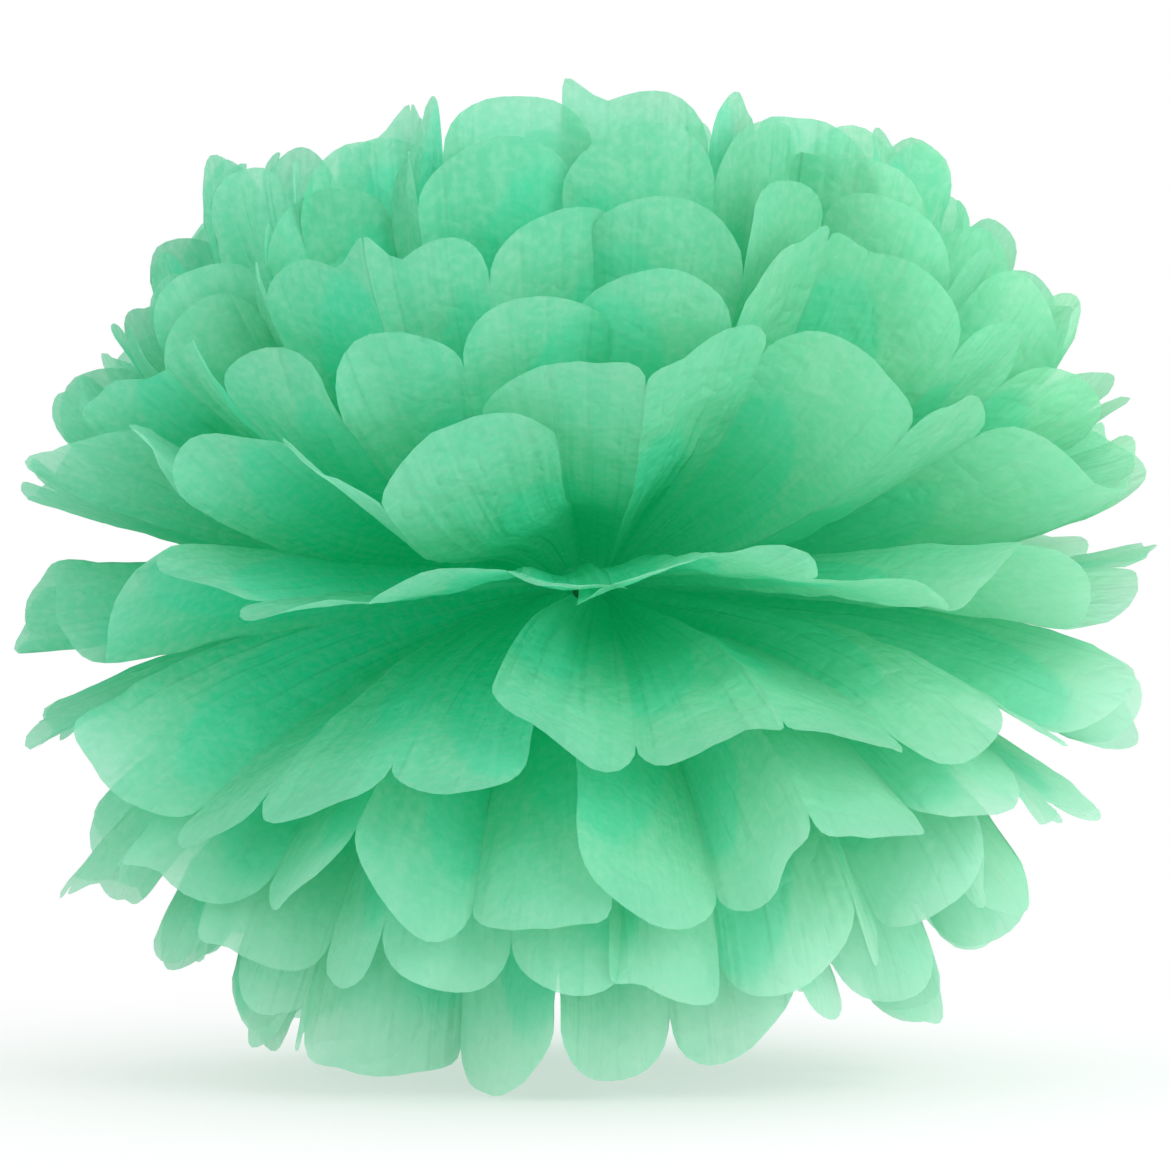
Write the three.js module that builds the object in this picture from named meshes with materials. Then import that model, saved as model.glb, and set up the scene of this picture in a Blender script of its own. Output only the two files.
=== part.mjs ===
// Tissue paper pom pom: ten pleated, fanned sheets tied at the waist with wire.
// Millimetres, +Z up, the tie at the origin. The photograph looks along +Y, with +X to its right.
import * as THREE from "three";

const PLEAT_COUNT = 13;
const PLEAT_WIDTH = 37;
const TIE_TO_TIP = 168;
const TIE_TO_NOTCH = TIE_TO_TIP - PLEAT_WIDTH / 2;
const PAPER_THICKNESS = 0.45;
const STACK_PITCH = 1.4;
const WAIST_WIDTH = 12.6;
const WAIST_RIPPLE = 0.1;
const STACK_MIDDLE = 0.5;
const STACK_REACH = 6.6;

const WIRE_DIAMETER = 1.1;
const WIRE_CLEARANCE = 0.35;
const TWIST_LENGTH = 16;
const TWIST_TURNS = 3.5;
const TWIST_DROOP = 2.5;

// How far out along a pleat the mesh has a row of points, as a share of the way to the notch.
const ROWS = [0.04, 0.1, 0.3, 0.66, 1];
const TIP_POINTS = 4;

// Fan out starts outside the wire and is over at this distance from the tie.
const FAN_START = 2;
const FAN_END = 13;
// Folds differ from their sheet's own slope only beyond this distance.
const RAMP_END = 70;
const CURL_POWER = 1.5;
const ARCH_END = 110;
const PATH_STEP = 2;

// The front positions in SHEETS were measured on a ball whose petals reach this far.
const MEASURED_REACH = 168;
const VIEW_SCALE = TIE_TO_TIP / MEASURED_REACH;
const EYE_DISTANCE = 1500;
const RISE_DRIFT = 3;
const MOST_CREST = 11;
const BACK_TILT = 11;

const degrees = (value) => (value * Math.PI) / 180;
const toDegrees = (value) => (value * 180) / Math.PI;
const clamp01 = (value) => Math.min(1, Math.max(0, value));
const clampTurn = (value) => Math.min(90, Math.max(-90, value));
const smooth = (value) => value * value * (3 - 2 * value);

// Each sheet, from the lowest up: its slope at the root and at the tips, in degrees above the
// horizon. front: where the first folds of each half end, counted from the front seam outward, as
// [right, up] of the tie in the front view. back: how far the half opens to the back seam. lift
// and curl: what a half adds to its sheet's rise and to the slope of its tips.
const SHEETS = [
  {
    name: "tissue_sheet_01",
    rise: -52,
    root: -45,
    tip: -98,
    left: { front: [[-11, -128], [-40, -130], [-66, -119], [-84, -104]], back: 70, curl: -4 },
    right: { front: [[2, -127], [30, -126], [58, -116], [80, -104]], back: 106, lift: 1, curl: -4 },
    seed: 11,
  },
  {
    name: "tissue_sheet_02",
    rise: -40,
    root: -34,
    tip: -88,
    left: { front: [[10, -105], [-20, -100], [-50, -104], [-76, -97], [-97, -92]], back: 106, lift: -2 },
    right: {
      front: [[15, -103], [44, -106], [74, -96], [92, -86], [106, -76]],
      back: 70,
      lift: 1,
      curl: -8,
    },
    seed: 12,
  },
  {
    name: "tissue_sheet_03",
    rise: -27,
    root: -23,
    tip: -66,
    left: { front: [[2, -82], [-31, -86], [-61, -74], [-90, -80], [-114, -73]], back: 70, lift: -3 },
    right: {
      front: [[7, -78], [44, -80], [62, -60], [97, -58], [116, -62], [132, -52]],
      back: 106,
      lift: 1,
    },
    seed: 13,
  },
  {
    name: "tissue_sheet_04",
    rise: -17,
    root: -11,
    tip: -42,
    left: { front: [[-20, -57], [-53, -50], [-87, -62], [-113, -54], [-130, -50], [-142, -34]], back: 106 },
    right: {
      front: [[-16, -35], [18, -35], [56, -35], [91, -36], [114, -43], [133, -32], [144, -24]],
      back: 70,
      lift: 2,
    },
    seed: 14,
  },
  {
    name: "tissue_sheet_05",
    arch: 6,
    frontCrest: 0.45,
    rise: -4,
    root: 0,
    tip: -4,
    left: {
      front: [[6, -2], [-20, 8], [-58, -5], [-92, -10], [-116, 0], [-134, -14], [-144, -4]],
      back: 70,
      lift: -2,
    },
    right: {
      front: [[8, -2], [38, 5], [66, 0], [97, -8], [119, 4], [136, -8], [147, 6]],
      back: 97,
      lift: 2,
    },
    seed: 15,
  },
  {
    name: "tissue_sheet_06",
    arch: 9,
    rise: 10,
    root: 9.5,
    tip: 42,
    left: {
      front: [[-19, 35], [-52, 33], [-84, 31], [-106, 36], [-125, 34], [-141, 22]],
      back: 106,
      lift: -1,
    },
    right: { front: [[-14, 36], [19, 51], [55, 61], [88, 45], [116, 36], [138, 26]], back: 70, lift: 1 },
    seed: 16,
  },
  {
    name: "tissue_sheet_07",
    arch: 7,
    rise: 20,
    root: 17,
    tip: 62,
    left: {
      front: [[3, 68], [-32, 66], [-68, 48], [-97, 58], [-119, 46], [-130, 50]],
      back: 70,
      lift: -1,
      curl: 4,
    },
    right: { front: [[9, 72], [42, 76], [73, 79], [103, 70], [124, 52], [140, 42]], back: 106, lift: 1 },
    seed: 17,
  },
  {
    name: "tissue_sheet_08",
    arch: 3,
    rise: 31,
    root: 25,
    tip: 80,
    left: {
      front: [[9, 94], [-24, 92], [-59, 75], [-84, 86], [-102, 72], [-114, 66]],
      back: 106,
      lift: -2,
      curl: 12,
    },
    right: { front: [[13, 92], [44, 92], [73, 101], [97, 85], [117, 77], [127, 68]], back: 70 },
    seed: 18,
  },
  {
    name: "tissue_sheet_09",
    rise: 40,
    root: 34,
    tip: 92,
    left: {
      front: [[-7, 113], [-42, 113], [-62, 103], [-82, 96], [-96, 84]],
      back: 70,
      lift: -2,
      curl: 20,
    },
    right: { front: [[4, 111], [37, 114], [68, 112], [90, 100], [106, 88]], back: 106, curl: 6 },
    seed: 19,
  },
  {
    name: "tissue_sheet_10",
    rise: 50,
    root: 43,
    tip: 102,
    left: { front: [[-2, 124], [-32, 128], [-54, 120], [-72, 108]], back: 70, lift: -1, curl: 22 },
    right: { front: [[4, 126], [33, 128], [57, 122], [78, 114]], back: 106, curl: 8 },
    seed: 20,
  },
];

// A repeatable number from 0 to 1 for a seed and a place in the row.
function chance(seed, index) {
  const wave = Math.sin(seed * 127.1 + index * 311.7) * 43758.5453;
  return wave - Math.floor(wave);
}

// The path of one fold from the tie outward, as points every PATH_STEP.
function foldPath(sheet, level, fold, side, azimuth, lift) {
  const gather = Math.sqrt(1 - ((level - STACK_MIDDLE) / STACK_REACH) ** 2);
  const start = new THREE.Vector3(
    0,
    (fold / PLEAT_COUNT - 0.5) * WAIST_WIDTH * gather,
    level * STACK_PITCH + (fold % 2 ? -1 : 1) * WAIST_RIPPLE,
  );
  const points = [start];
  const here = start.clone();
  const count = Math.ceil((TIE_TO_TIP + 4) / PATH_STEP);
  for (let step = 0; step < count; step += 1) {
    const along = (step + 0.5) * PATH_STEP;
    const turn = degrees(azimuth) * smooth(clamp01((along - FAN_START) / (FAN_END - FAN_START)));
    const root = clamp01((along - FAN_START) / 10);
    const curl = Math.pow(along / TIE_TO_TIP, CURL_POWER);
    const own = smooth(clamp01(along / RAMP_END));
    const slope = degrees(sheet.root * root + (sheet.tip - sheet.root) * curl + lift * own);
    here.x += side * Math.cos(turn) * Math.cos(slope) * PATH_STEP;
    here.y += Math.sin(turn) * Math.cos(slope) * PATH_STEP;
    here.z += Math.sin(slope) * PATH_STEP;
    points.push(here.clone());
  }
  const arch = (sheet.arch || 0) * Math.max(0, 1 - fold / 3);
  points.forEach((point, index) => {
    const share = Math.min(1, (index * PATH_STEP) / ARCH_END);
    point.z += arch * Math.sin(Math.PI * share);
  });
  return points;
}

// The point on a fold path at a distance from the tie.
function alongPath(path, distance) {
  const place = distance / PATH_STEP;
  const index = Math.min(path.length - 2, Math.floor(place));
  return path[index].clone().lerp(path[index + 1], place - index);
}

// Where a fold's notch is: its distance from the tie, and its azimuth and rise as seen from there.
function notchOf(path, side) {
  const notch = alongPath(path, TIE_TO_NOTCH);
  return {
    reach: notch.length(),
    azimuth: toDegrees(Math.atan2(notch.y, side * notch.x)),
    rise: toDegrees(Math.atan2(notch.z, Math.hypot(notch.x, notch.y))),
  };
}

// The path of a fold that brings its notch to the wanted rise, in degrees.
function pathAtRise(sheet, level, fold, side, azimuth, rise) {
  let low = -70;
  let high = 70;
  let path;
  for (let pass = 0; pass < 16; pass += 1) {
    const middle = (low + high) / 2;
    path = foldPath(sheet, level, fold, side, azimuth, middle);
    if (notchOf(path, side).rise < rise) {
      low = middle;
    } else {
      high = middle;
    }
  }
  return path;
}

// The path of a fold whose notch stands at a point of the front view.
function pathToView(sheet, level, fold, side, [right, up]) {
  let reach = TIE_TO_NOTCH;
  let azimuth = -60;
  let path;
  for (let pass = 0; pass < 6; pass += 1) {
    let depth = 0;
    for (let turn = 0; turn < 3; turn += 1) {
      const scale = (EYE_DISTANCE + depth) / EYE_DISTANCE;
      depth = -Math.sqrt(Math.max(0, reach ** 2 - (right * scale) ** 2 - (up * scale) ** 2));
    }
    const scale = (EYE_DISTANCE + depth) / EYE_DISTANCE;
    const across = Math.hypot(right * scale, depth);
    const rise = toDegrees(Math.atan2(up * scale, across));
    const wanted = toDegrees(Math.atan2(depth, side * right * scale));
    path = pathAtRise(sheet, level, fold, side, azimuth, rise);
    const notch = notchOf(path, side);
    azimuth += wanted - notch.azimuth;
    reach = notch.reach;
  }
  return { path, azimuth };
}

// Move a fold path off its sheet's mean surface: the crest or the valley of a pleat.
function crest(path, size) {
  return path.map((point, index) => {
    const before = path[Math.max(0, index - 1)];
    const after = path[Math.min(path.length - 1, index + 1)];
    const run = after.clone().sub(before);
    const flat = Math.hypot(run.x, run.y);
    const normal = new THREE.Vector3(-run.x * run.z / flat, -run.y * run.z / flat, flat).normalize();
    const share = clamp01((index * PATH_STEP) / TIE_TO_NOTCH);
    return point.clone().addScaledVector(normal, size * Math.pow(share, 1.25));
  });
}

// One half of a sheet: the folds' paths, in order from the front seam to the back seam.
function halfPaths(plan, level, side) {
  const { front, back, lift = 0, curl = 0 } = side < 0 ? plan.left : plan.right;
  const sheet = { ...plan, rise: plan.rise + lift, tip: plan.tip + curl };
  const aims = front.map((point) => point.map((value) => value * VIEW_SCALE));
  const placed = aims.map((aim, fold) => pathToView(sheet, level, fold, side, aim));
  const paths = placed.map(({ path }) => path);
  const last = placed[placed.length - 1];
  const rest = PLEAT_COUNT - (front.length - 1);
  const weights = [];
  for (let pleat = 0; pleat < rest; pleat += 1) {
    weights.push(0.9 + 0.2 * chance(sheet.seed + side * 3, pleat));
  }
  const total = weights.reduce((sum, weight) => sum + weight, 0);
  const lastRise = notchOf(last.path, side).rise;
  let azimuth = last.azimuth;
  for (let pleat = 0; pleat < rest; pleat += 1) {
    azimuth += (weights[pleat] / total) * (back - last.azimuth);
    const fold = front.length + pleat;
    const drift = RISE_DRIFT * (chance(sheet.seed + 40 + side * 5, fold) - 0.5);
    const blend = clamp01((pleat + 1) / 3);
    const lean = BACK_TILT * Math.cos(degrees(sheet.rise)) * Math.sin(degrees(clampTurn(azimuth)));
    const rise = lastRise + (sheet.rise + lean - lastRise) * blend + drift;
    paths.push(pathAtRise(sheet, level, fold, side, azimuth, rise));
  }
  const notches = paths.map((path) => alongPath(path, TIE_TO_NOTCH));
  const swing = notches.slice(1).map((notch, index) => {
    const flat = notch.distanceTo(notches[index]);
    return Math.min(2 * MOST_CREST, Math.sqrt(Math.max(0, PLEAT_WIDTH ** 2 - flat ** 2)));
  });
  return paths.map((path, fold) => {
    const near = swing[Math.max(0, fold - 1)];
    const far = swing[Math.min(PLEAT_COUNT - 1, fold)];
    const share = fold < front.length ? sheet.frontCrest || 1 : 1;
    return crest(path, (share * (fold % 2 ? -1 : 1) * (near + far)) / 4);
  });
}

// A sheet's middle surface: shared points at the waist, rows along each pleat and a round tip.
function sheetSurface(sheet, level) {
  const points = [];
  const faces = [];
  const add = (point) => points.push(point) - 1;
  const halves = [-1, 1].map((side) => ({ side, paths: halfPaths(sheet, level, side) }));
  const waist = halves[0].paths.map((path) => add(path[0].clone()));
  for (const { side, paths } of halves) {
    const face = (a, b, c) => faces.push(side > 0 ? [a, b, c] : [a, c, b]);
    const grid = [waist];
    for (const share of ROWS) {
      grid.push(paths.map((path) => add(alongPath(path, share * TIE_TO_NOTCH))));
    }
    for (let pleat = 0; pleat < PLEAT_COUNT; pleat += 1) {
      for (let row = 0; row + 2 < grid.length; row += 1) {
        const [a, b] = [grid[row][pleat], grid[row][pleat + 1]];
        const [c, d] = [grid[row + 1][pleat], grid[row + 1][pleat + 1]];
        face(a, c, d);
        face(a, d, b);
      }
      const inner = grid[grid.length - 2];
      const outer = grid[grid.length - 1];
      const across = (share, distance) =>
        alongPath(paths[pleat], distance).lerp(alongPath(paths[pleat + 1], distance), share);
      const hub = add(across(0.5, TIE_TO_NOTCH));
      face(inner[pleat], outer[pleat], hub);
      face(inner[pleat], hub, inner[pleat + 1]);
      face(inner[pleat + 1], hub, outer[pleat + 1]);
      let last = outer[pleat];
      for (let tip = 1; tip <= TIP_POINTS; tip += 1) {
        const turn = (Math.PI * tip) / (TIP_POINTS + 1);
        const share = 0.5 - Math.cos(turn) / 2;
        const next = add(across(share, TIE_TO_NOTCH + (Math.sin(turn) * PLEAT_WIDTH) / 2));
        face(last, next, hub);
        last = next;
      }
      face(last, outer[pleat + 1], hub);
    }
  }
  return { points, faces };
}

// Give a surface its thickness: both skins and a rim along every free edge.
function thicken({ points, faces }, thickness) {
  const normals = points.map(() => new THREE.Vector3());
  const faceNormals = faces.map(([a, b, c]) => {
    const normal = points[b].clone().sub(points[a]).cross(points[c].clone().sub(points[a]));
    return normal.normalize();
  });
  faces.forEach((corners, index) => {
    for (const corner of corners) {
      const others = corners.filter((other) => other !== corner);
      const first = points[others[0]].clone().sub(points[corner]).normalize();
      const second = points[others[1]].clone().sub(points[corner]).normalize();
      const angle = Math.acos(Math.min(1, Math.max(-1, first.dot(second))));
      normals[corner].addScaledVector(faceNormals[index], angle);
    }
  });
  normals.forEach((normal) => normal.normalize());
  const reach = normals.map(() => []);
  faces.forEach((corners, index) => {
    corners.forEach((corner) => reach[corner].push(normals[corner].dot(faceNormals[index])));
  });
  const positions = [];
  for (const skin of [1, -1]) {
    points.forEach((point, index) => {
      const mean = reach[index].reduce((sum, value) => sum + value, 0) / reach[index].length;
      const step = (skin * thickness) / 2 / Math.max(0.45, mean);
      positions.push(...point.clone().addScaledVector(normals[index], step).toArray());
    });
  }
  const below = points.length;
  const index = [];
  const edges = new Map();
  for (const [a, b, c] of faces) {
    index.push(a, b, c, a + below, c + below, b + below);
    for (const [from, to] of [[a, b], [b, c], [c, a]]) {
      const back = `${to},${from}`;
      if (edges.has(back)) {
        edges.delete(back);
      } else {
        edges.set(`${from},${to}`, [from, to]);
      }
    }
  }
  for (const [from, to] of edges.values()) {
    index.push(to, from, from + below, to, from + below, to + below);
  }
  const geometry = new THREE.BufferGeometry();
  geometry.setAttribute("position", new THREE.Float32BufferAttribute(positions, 3));
  geometry.setIndex(index);
  geometry.computeVertexNormals();
  return geometry;
}

// The wire's centre line: one strand of the twist, round the waist, and the other strand.
function wirePath() {
  const spare = WIRE_CLEARANCE + WIRE_DIAMETER / 2 + PAPER_THICKNESS / 2;
  const wide = WAIST_WIDTH / 2 + spare;
  const high = 5.9 * STACK_PITCH + WAIST_RIPPLE + spare;
  const centre = STACK_MIDDLE * STACK_PITCH;
  const strand = WIRE_DIAMETER * 0.75;
  const twist = (share, phase) => {
    const turn = share * TWIST_TURNS * Math.PI * 2 + phase;
    return new THREE.Vector3(
      strand * Math.cos(turn),
      -wide - 2 - share * TWIST_LENGTH,
      centre - 1 - TWIST_DROOP * share + strand * Math.sin(turn),
    );
  };
  const points = [];
  const steps = Math.round(TWIST_TURNS * 8);
  for (let step = steps; step >= 0; step -= 1) {
    points.push(twist(step / steps, Math.PI / 2));
  }
  for (let step = 0; step <= 16; step += 1) {
    const angle = degrees(158 - (step / 16) * 316);
    points.push(new THREE.Vector3(0, Math.cos(angle) * wide, centre + Math.sin(angle) * high));
  }
  for (let step = 0; step <= steps; step += 1) {
    points.push(twist(step / steps, -Math.PI / 2));
  }
  return points;
}

// A closed round wire along a line of points.
function wireGeometry() {
  const curve = new THREE.CatmullRomCurve3(wirePath());
  const rings = 96;
  const sides = 6;
  const { tangents, normals, binormals } = curve.computeFrenetFrames(rings, false);
  const positions = [];
  for (let ring = 0; ring <= rings; ring += 1) {
    const centre = curve.getPointAt(ring / rings);
    for (let corner = 0; corner < sides; corner += 1) {
      const turn = (corner / sides) * Math.PI * 2;
      const out = normals[ring].clone().multiplyScalar(Math.cos(turn) * (WIRE_DIAMETER / 2));
      out.addScaledVector(binormals[ring], Math.sin(turn) * (WIRE_DIAMETER / 2));
      positions.push(...out.add(centre).toArray());
    }
  }
  const index = [];
  for (let ring = 0; ring < rings; ring += 1) {
    for (let corner = 0; corner < sides; corner += 1) {
      const a = ring * sides + corner;
      const b = ring * sides + ((corner + 1) % sides);
      index.push(a, b, b + sides, a, b + sides, a + sides);
    }
  }
  const end = rings * sides;
  for (let corner = 1; corner + 1 < sides; corner += 1) {
    index.push(0, corner + 1, corner, end, end + corner, end + corner + 1);
  }
  const geometry = new THREE.BufferGeometry();
  geometry.setAttribute("position", new THREE.Float32BufferAttribute(positions, 3));
  geometry.setIndex(index);
  geometry.computeVertexNormals();
  return geometry;
}

function paperMaterial(shade) {
  return new THREE.MeshStandardMaterial({
    color: new THREE.Color(0.27 + shade, 0.78 + shade / 2, 0.52 + shade),
    roughness: 0.85,
    metalness: 0,
    side: THREE.DoubleSide,
  });
}

function buildPomPom() {
  const object = new THREE.Group();
  object.name = "tissue_paper_pom_pom";
  SHEETS.forEach((sheet, index) => {
    const geometry = thicken(sheetSurface(sheet, index - 4), PAPER_THICKNESS);
    const mesh = new THREE.Mesh(geometry, paperMaterial(0.008 * index));
    mesh.name = sheet.name;
    object.add(mesh);
  });
  const steel = new THREE.MeshStandardMaterial({ color: 0x2f6b4a, roughness: 0.45, metalness: 0.4 });
  const wire = new THREE.Mesh(wireGeometry(), steel);
  wire.name = "tie_wire";
  object.add(wire);
  return object;
}

export default buildPomPom();
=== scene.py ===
"""Tissue paper pom pom: the visual model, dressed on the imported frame.

Metres in the row frame, +Z up, the tie at the origin. The photograph looks along +Y with +X to
its right, straight at the seam between the two half fans.
"""

import logging
import math
from dataclasses import dataclass, field, replace
from enum import Enum

import bpy
import numpy as np
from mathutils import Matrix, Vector


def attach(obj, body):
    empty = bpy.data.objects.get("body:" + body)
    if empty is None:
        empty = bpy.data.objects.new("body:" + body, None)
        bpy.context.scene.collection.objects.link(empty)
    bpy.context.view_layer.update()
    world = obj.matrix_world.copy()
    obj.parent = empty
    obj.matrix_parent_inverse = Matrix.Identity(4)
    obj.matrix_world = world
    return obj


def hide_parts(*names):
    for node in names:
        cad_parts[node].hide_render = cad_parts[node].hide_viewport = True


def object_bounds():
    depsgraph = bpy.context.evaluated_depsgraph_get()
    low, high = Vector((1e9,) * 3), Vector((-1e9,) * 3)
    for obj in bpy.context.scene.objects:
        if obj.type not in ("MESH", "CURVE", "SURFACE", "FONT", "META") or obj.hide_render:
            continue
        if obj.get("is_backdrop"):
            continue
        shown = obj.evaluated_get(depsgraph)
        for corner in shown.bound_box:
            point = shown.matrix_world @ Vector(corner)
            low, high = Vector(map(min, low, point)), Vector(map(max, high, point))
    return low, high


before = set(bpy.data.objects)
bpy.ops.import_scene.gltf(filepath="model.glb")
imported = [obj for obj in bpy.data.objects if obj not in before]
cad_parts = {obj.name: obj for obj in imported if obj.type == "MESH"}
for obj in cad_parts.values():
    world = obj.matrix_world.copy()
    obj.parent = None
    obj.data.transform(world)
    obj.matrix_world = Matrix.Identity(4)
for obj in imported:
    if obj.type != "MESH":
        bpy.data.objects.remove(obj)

Socket = bpy.types.NodeSocket
Tree = bpy.types.NodeTree
Pair = tuple[float, float]
Triple = tuple[float, float, float]
LOG = logging.getLogger("pom_pom")
MM = 0.001
IMAGE_SIZE = 1170
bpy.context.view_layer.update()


class Half(Enum):
    """Which half of a sheet, left or right of the tie in the front view."""

    LEFT = -1
    RIGHT = 1


@dataclass(frozen=True)
class Fan:
    """How one half of a sheet opens.

    front holds where the first folds end, in mm [right, up] of the tie in the front view,
    counted from the front seam outward. back is how far the half opens to the back seam. lift
    and curl are what the half adds to its sheet's rise and to the slope of its tips.
    """

    front: tuple[Pair, ...]
    back: float
    lift: float = 0.0
    curl: float = 0.0


@dataclass(frozen=True)
class SheetPlan:
    """The pose of one sheet of tissue, with slopes in degrees above the horizon."""

    name: str
    level: int
    root: float
    tip: float
    rise: float
    left: Fan
    right: Fan
    seed: int
    arch: float = 0.0
    front_crest: float = 1.0

    def points_at(self, half: "Half", fold: int) -> float:
        """How far a fold runs out to a point between its two petals, in mm."""
        ears = EARS.get((self.level, half), {})
        if fold in ears:
            return ears[fold]
        luck = chance(self.seed + 90 + half.value, fold)
        return 12.0 * max(0.0, luck - 0.85) / 0.15


# How much shorter the petals of some halves were cut, in mm at the front and at the side.
TRIMS: dict[tuple[int, Half], Pair] = {
    (5, Half.LEFT): (5.0, 7.0),
    (4, Half.LEFT): (4.0, 11.0),
    (3, Half.LEFT): (4.0, 10.0),
    (2, Half.LEFT): (2.0, 8.0),
    (1, Half.LEFT): (0.0, 3.0),
    (0, Half.LEFT): (0.0, 8.0),
    (-1, Half.LEFT): (0.0, 7.0),
    (-2, Half.LEFT): (0.0, 4.0),
    (-3, Half.LEFT): (2.0, 5.0),
    (-4, Half.LEFT): (2.0, 6.0),
    (5, Half.RIGHT): (4.0, 4.0),
    (4, Half.RIGHT): (1.0, 5.0),
    (3, Half.RIGHT): (0.0, 3.0),
    (-2, Half.RIGHT): (0.0, 3.0),
    (-3, Half.RIGHT): (2.0, 7.0),
    (-4, Half.RIGHT): (3.0, 9.0),
}

# Folds whose ends stand up as narrow points in the front view, by sheet level and half.
EARS: dict[tuple[int, Half], dict[int, float]] = {
    (5, Half.LEFT): {0: 0.0, 2: 22.0, 3: 0.0},
    (5, Half.RIGHT): {0: 21.0, 1: 0.0, 2: 8.0},
    (4, Half.RIGHT): {2: 9.0},
    (3, Half.LEFT): {2: 25.0},
    (2, Half.LEFT): {4: 12.0, 5: 10.0},
    (2, Half.RIGHT): {2: 15.0, 3: 0.0},
    (1, Half.LEFT): {4: 0.0, 5: 16.0, 7: 12.0},
    (1, Half.RIGHT): {0: 0.0, 1: 11.0, 2: 0.0, 3: 8.0, 5: 16.0},
    (0, Half.LEFT): {0: 0.0, 1: 0.0, 2: 0.0, 5: 6.0, 6: 8.0, 7: 16.0},
    (0, Half.RIGHT): {0: 0.0, 1: 0.0, 2: 0.0, 3: 9.0, 5: 0.0, 6: 5.0, 7: 9.0},
    (-1, Half.LEFT): {0: 0.0, 1: 0.0, 4: 8.0, 5: 21.0, 6: 8.0, 7: 20.0},
    (-1, Half.RIGHT): {0: 0.0, 1: 0.0, 2: 9.0},
    (-2, Half.LEFT): {0: 12.0, 4: 14.0, 5: 12.0, 6: 20.0},
    (-3, Half.RIGHT): {0: 12.0},
}

PLANS: tuple[SheetPlan, ...] = (
    SheetPlan(
        "tissue_sheet_01", -4, -45, -98, -52,
        Fan(((-11, -128), (-40, -130), (-66, -119), (-84, -104)), 70, curl=-4),
        Fan(((2, -127), (30, -126), (58, -116), (80, -104)), 106, lift=1, curl=-4),
        11,
    ),
    SheetPlan(
        "tissue_sheet_02", -3, -34, -88, -40,
        Fan(((10, -105), (-20, -100), (-50, -104), (-76, -97), (-97, -92)), 106, lift=-2),
        Fan(((15, -103), (44, -106), (74, -96), (92, -86), (106, -76)), 70, lift=1, curl=-8),
        12,
    ),
    SheetPlan(
        "tissue_sheet_03", -2, -23, -66, -27,
        Fan(((2, -82), (-31, -86), (-61, -74), (-90, -80), (-115, -73)), 70, lift=-2.5),
        Fan(((7, -78), (44, -80), (62, -60), (97, -58), (116, -62), (133, -52)), 106, lift=1.5),
        13,
    ),
    SheetPlan(
        "tissue_sheet_04", -1, -11, -42, -17,
        Fan(
            ((-20, -57), (-53, -50), (-87, -62), (-113, -55), (-130, -46), (-142, -36)),
            106,
            lift=0.5,
        ),
        Fan(
            ((-16, -35), (18, -35), (56, -35), (91, -36), (114, -43), (133, -33), (144, -26)),
            70,
            lift=2,
        ),
        14,
    ),
    SheetPlan(
        "tissue_sheet_05", 0, 0, -4, -4,
        Fan(
            ((7, 1), (-20, 4), (-58, 0), (-92, -7), (-116, 0), (-134, -12), (-145, -3)),
            70,
            lift=-1.5,
        ),
        Fan(((8, 1), (38, 1), (66, 3), (98, -10), (119, 2), (137, -10), (148, 8)), 97, lift=1.5),
        15,
        arch=6,
        front_crest=-0.5,
    ),
    SheetPlan(
        "tissue_sheet_06", 1, 9.5, 42, 10,
        Fan(((-19, 35), (-52, 33), (-84, 31), (-106, 36), (-125, 34), (-141, 25)), 106, lift=-1),
        Fan(((-14, 36), (19, 51), (55, 61), (88, 45), (116, 36), (138, 25)), 70, lift=0.5),
        16,
        arch=9,
    ),
    SheetPlan(
        "tissue_sheet_07", 2, 17, 62, 20,
        Fan(
            ((3, 68), (-32, 66), (-68, 48), (-97, 58), (-119, 46), (-130, 50)),
            70,
            lift=-1,
            curl=4,
        ),
        Fan(((9, 72), (42, 76), (73, 79), (103, 70), (124, 52), (140, 42)), 106, lift=1),
        17,
        arch=7,
    ),
    SheetPlan(
        "tissue_sheet_08", 3, 25, 80, 31,
        Fan(
            ((9, 94), (-24, 92), (-59, 75), (-84, 86), (-102, 72), (-114, 66)),
            106,
            lift=-2,
            curl=12,
        ),
        Fan(((13, 92), (44, 92), (73, 101), (97, 85), (117, 77), (127, 68)), 70),
        18,
        arch=3,
    ),
    SheetPlan(
        "tissue_sheet_09", 4, 34, 92, 40,
        Fan(((-7, 113), (-42, 113), (-62, 103), (-82, 96), (-96, 84)), 70, lift=-2, curl=20),
        Fan(((4, 111), (37, 114), (68, 112), (90, 100), (106, 88)), 106, curl=6),
        19,
    ),
    SheetPlan(
        "tissue_sheet_10", 5, 43, 102, 50,
        Fan(((-2, 124), (-32, 128), (-54, 120), (-72, 108)), 70, lift=-1, curl=22),
        Fan(((4, 126), (33, 128), (57, 122), (78, 114)), 106, curl=8),
        20,
    ),
)


def smooth(value: np.ndarray | float) -> np.ndarray | float:
    """Ease a value from 0 to 1, clamped at both ends."""
    held = np.clip(value, 0.0, 1.0)
    return held * held * (3 - 2 * held)


def eased(value: np.ndarray | float, start: float, length: float) -> np.ndarray | float:
    """Ease a value from 0 at start to 1 at the end of a length."""
    return smooth((value - start) / length)


def corners(grid: np.ndarray) -> np.ndarray:
    """The values of a grid at the four corners of each face, column by column."""
    around = (grid[:-1, :-1], grid[:-1, 1:], grid[1:, 1:], grid[1:, :-1])
    return np.stack([part.T for part in around], axis=-1)


def chance(seed: float, index: float) -> float:
    """A repeatable number from 0 to 1 for a seed and a place in the row."""
    wave = math.sin(seed * 127.1 + index * 311.7) * 43758.5453
    return wave - math.floor(wave)


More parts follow.
